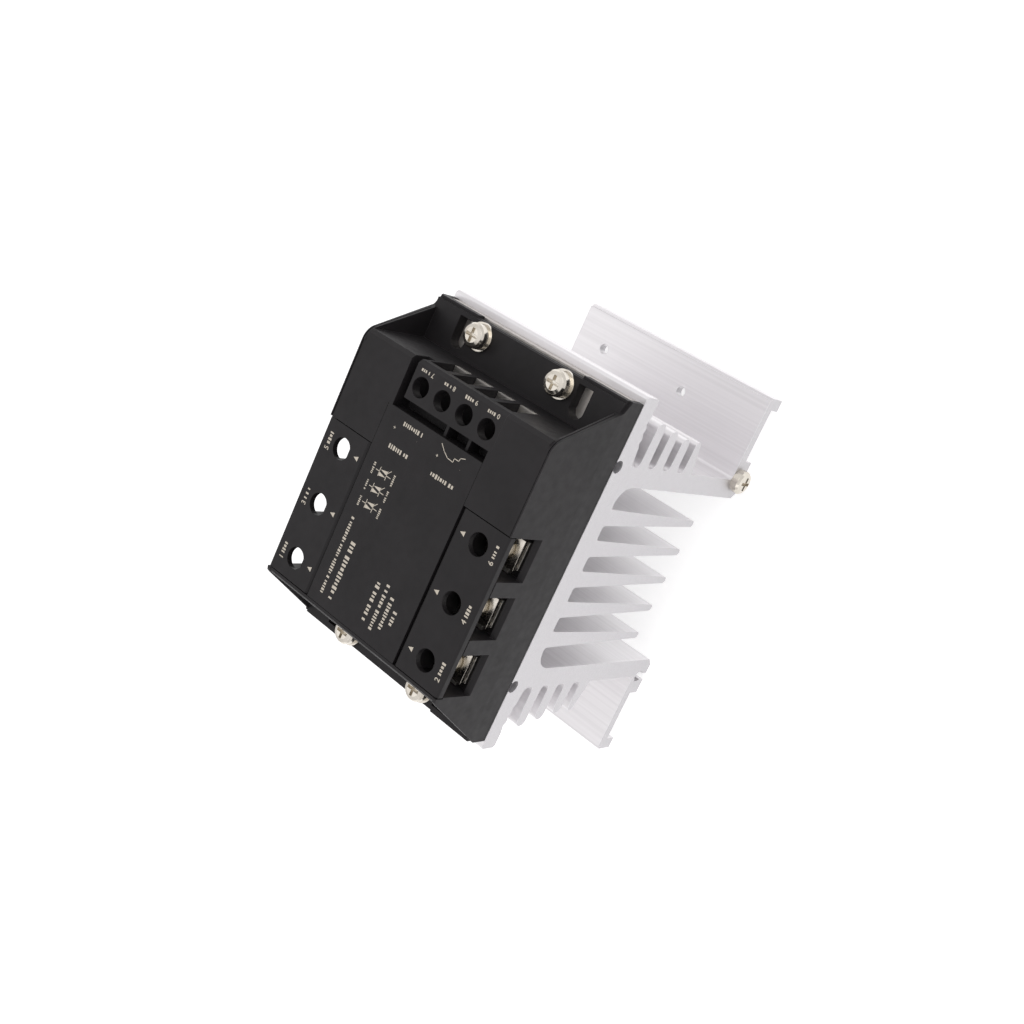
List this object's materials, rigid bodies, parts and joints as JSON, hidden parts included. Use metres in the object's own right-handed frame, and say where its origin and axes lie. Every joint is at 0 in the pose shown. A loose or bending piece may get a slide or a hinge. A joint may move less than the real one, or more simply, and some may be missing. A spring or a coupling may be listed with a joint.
{
  "type": "solid state relay",
  "caption": "Three-phase solid state relay module with hinged terminal covers, screwed to an extruded finned heat sink with flanged feet.",
  "frame": {"origin": "middle of the heat sink's rear mounting plane", "axes": "+Z out of the front face, +X towards the control terminals, +Y towards the line terminals"},
  "size_m": [0.1366, 0.0836, 0.1144],
  "materials": {
    "anodised_aluminium": "fine brushed, clear anodised",
    "thermal_pad": "matt",
    "base_metal": "dull",
    "black_plastic": "fine spark-eroded texture",
    "plated_steel": "nickel plated",
    "tinned_copper": "tin plated",
    "ceramic": "fired, smooth",
    "copper": "bare",
    "silicon": "polished",
    "pin_brass": "bare",
    "silicone": "soft gel",
    "circuit_board": "solder resist",
    "chip_package": "moulded",
    "capacitor_case": "moulded"
  },
  "bodies": {
    "relay": {"heatsink": "anodised_aluminium", "thermal_pad": "thermal_pad", "base_plate": "base_metal", "housing": "black_plastic", "control_hood": "black_plastic", "label_panel": "black_plastic", "module_screws": "plated_steel", "module_spring_washers": "plated_steel", "module_flat_washers": "plated_steel", "earth_screw": "plated_steel", "earth_washer": "plated_steel", "line_terminals": "tinned_copper", "load_terminals": "tinned_copper", "input_terminals": "tinned_copper", "ceramic_substrates": "ceramic", "copper_pads": "copper", "thyristor_chips": "silicon", "bridge_straps": "copper", "gate_pins": "pin_brass", "potting": "silicone", "control_board": "circuit_board", "optocouplers": "chip_package", "snubber_capacitors": "capacitor_case"},
    "cover_line": {"cover_line": "black_plastic"},
    "cover_load": {"cover_load": "black_plastic"},
    "power_clamp_1": {"power_clamp_1": "plated_steel"},
    "power_screw_1": {"power_screw_1": "plated_steel"},
    "power_clamp_2": {"power_clamp_2": "plated_steel"},
    "power_screw_2": {"power_screw_2": "plated_steel"},
    "power_clamp_3": {"power_clamp_3": "plated_steel"},
    "power_screw_3": {"power_screw_3": "plated_steel"},
    "power_clamp_4": {"power_clamp_4": "plated_steel"},
    "power_screw_4": {"power_screw_4": "plated_steel"},
    "power_clamp_5": {"power_clamp_5": "plated_steel"},
    "power_screw_5": {"power_screw_5": "plated_steel"},
    "power_clamp_6": {"power_clamp_6": "plated_steel"},
    "power_screw_6": {"power_screw_6": "plated_steel"},
    "input_clamp_1": {"input_clamp_1": "plated_steel"},
    "input_screw_1": {"input_screw_1": "plated_steel"},
    "input_clamp_2": {"input_clamp_2": "plated_steel"},
    "input_screw_2": {"input_screw_2": "plated_steel"},
    "input_clamp_3": {"input_clamp_3": "plated_steel"},
    "input_screw_3": {"input_screw_3": "plated_steel"},
    "input_clamp_4": {"input_clamp_4": "plated_steel"},
    "input_screw_4": {"input_screw_4": "plated_steel"}
  },
  "joints": [
    {"name": "cover_line_hinge", "type": "hinge", "parent": "relay", "child": "cover_line", "pos_m": [-0.0135, 0.0219, 0.1126], "axis": [1, 0, 0], "range_deg": [0, 90]},
    {"name": "cover_load_hinge", "type": "hinge", "parent": "relay", "child": "cover_load", "pos_m": [-0.0135, -0.0219, 0.1126], "axis": [-1, 0, 0], "range_deg": [0, 90]},
    {"name": "power_clamp_1_lift", "type": "slide", "parent": "relay", "child": "power_clamp_1", "axis": [0, 0, 1], "range_m": [0, 0.0041]},
    {"name": "power_screw_1_turn", "type": "hinge", "parent": "power_clamp_1", "child": "power_screw_1", "pos_m": [-0.0325, 0.03, 0.1032], "axis": [0, 0, 1], "range_deg": [0, 2108.5]},
    {"name": "power_clamp_2_lift", "type": "slide", "parent": "relay", "child": "power_clamp_2", "axis": [0, 0, 1], "range_m": [0, 0.0041]},
    {"name": "power_screw_2_turn", "type": "hinge", "parent": "power_clamp_2", "child": "power_screw_2", "pos_m": [-0.0135, 0.03, 0.1032], "axis": [0, 0, 1], "range_deg": [0, 2108.5]},
    {"name": "power_clamp_3_lift", "type": "slide", "parent": "relay", "child": "power_clamp_3", "axis": [0, 0, 1], "range_m": [0, 0.0041]},
    {"name": "power_screw_3_turn", "type": "hinge", "parent": "power_clamp_3", "child": "power_screw_3", "pos_m": [0.0055, 0.03, 0.1032], "axis": [0, 0, 1], "range_deg": [0, 2108.5]},
    {"name": "power_clamp_4_lift", "type": "slide", "parent": "relay", "child": "power_clamp_4", "axis": [0, 0, 1], "range_m": [0, 0.0041]},
    {"name": "power_screw_4_turn", "type": "hinge", "parent": "power_clamp_4", "child": "power_screw_4", "pos_m": [-0.0325, -0.03, 0.1032], "axis": [0, 0, 1], "range_deg": [0, 2108.5]},
    {"name": "power_clamp_5_lift", "type": "slide", "parent": "relay", "child": "power_clamp_5", "axis": [0, 0, 1], "range_m": [0, 0.0041]},
    {"name": "power_screw_5_turn", "type": "hinge", "parent": "power_clamp_5", "child": "power_screw_5", "pos_m": [-0.0135, -0.03, 0.1032], "axis": [0, 0, 1], "range_deg": [0, 2108.5]},
    {"name": "power_clamp_6_lift", "type": "slide", "parent": "relay", "child": "power_clamp_6", "axis": [0, 0, 1], "range_m": [0, 0.0041]},
    {"name": "power_screw_6_turn", "type": "hinge", "parent": "power_clamp_6", "child": "power_screw_6", "pos_m": [0.0055, -0.03, 0.1032], "axis": [0, 0, 1], "range_deg": [0, 2108.5]},
    {"name": "input_clamp_1_lift", "type": "slide", "parent": "relay", "child": "input_clamp_1", "axis": [0, 0, 1], "range_m": [0, 0.0041]},
    {"name": "input_screw_1_turn", "type": "hinge", "parent": "input_clamp_1", "child": "input_screw_1", "pos_m": [0.03485, 0.01112, 0.1013], "axis": [0, 0, 1], "range_deg": [0, 2951.9]},
    {"name": "input_clamp_2_lift", "type": "slide", "parent": "relay", "child": "input_clamp_2", "axis": [0, 0, 1], "range_m": [0, 0.0041]},
    {"name": "input_screw_2_turn", "type": "hinge", "parent": "input_clamp_2", "child": "input_screw_2", "pos_m": [0.03485, 0.00198, 0.1013], "axis": [0, 0, 1], "range_deg": [0, 2951.9]},
    {"name": "input_clamp_3_lift", "type": "slide", "parent": "relay", "child": "input_clamp_3", "axis": [0, 0, 1], "range_m": [0, 0.0041]},
    {"name": "input_screw_3_turn", "type": "hinge", "parent": "input_clamp_3", "child": "input_screw_3", "pos_m": [0.03485, -0.00717, 0.1013], "axis": [0, 0, 1], "range_deg": [0, 2951.9]},
    {"name": "input_clamp_4_lift", "type": "slide", "parent": "relay", "child": "input_clamp_4", "axis": [0, 0, 1], "range_m": [0, 0.0041]},
    {"name": "input_screw_4_turn", "type": "hinge", "parent": "input_clamp_4", "child": "input_screw_4", "pos_m": [0.03485, -0.01632, 0.1013], "axis": [0, 0, 1], "range_deg": [0, 2951.9]}
  ],
  "couplings": [
    {"joint": "power_screw_1_turn", "follows": "power_clamp_1_lift", "rad_per_m": 8976},
    {"joint": "power_screw_2_turn", "follows": "power_clamp_2_lift", "rad_per_m": 8976},
    {"joint": "power_screw_3_turn", "follows": "power_clamp_3_lift", "rad_per_m": 8976},
    {"joint": "power_screw_4_turn", "follows": "power_clamp_4_lift", "rad_per_m": 8976},
    {"joint": "power_screw_5_turn", "follows": "power_clamp_5_lift", "rad_per_m": 8976},
    {"joint": "power_screw_6_turn", "follows": "power_clamp_6_lift", "rad_per_m": 8976},
    {"joint": "input_screw_1_turn", "follows": "input_clamp_1_lift", "rad_per_m": 12566},
    {"joint": "input_screw_2_turn", "follows": "input_clamp_2_lift", "rad_per_m": 12566},
    {"joint": "input_screw_3_turn", "follows": "input_clamp_3_lift", "rad_per_m": 12566},
    {"joint": "input_screw_4_turn", "follows": "input_clamp_4_lift", "rad_per_m": 12566}
  ]
}
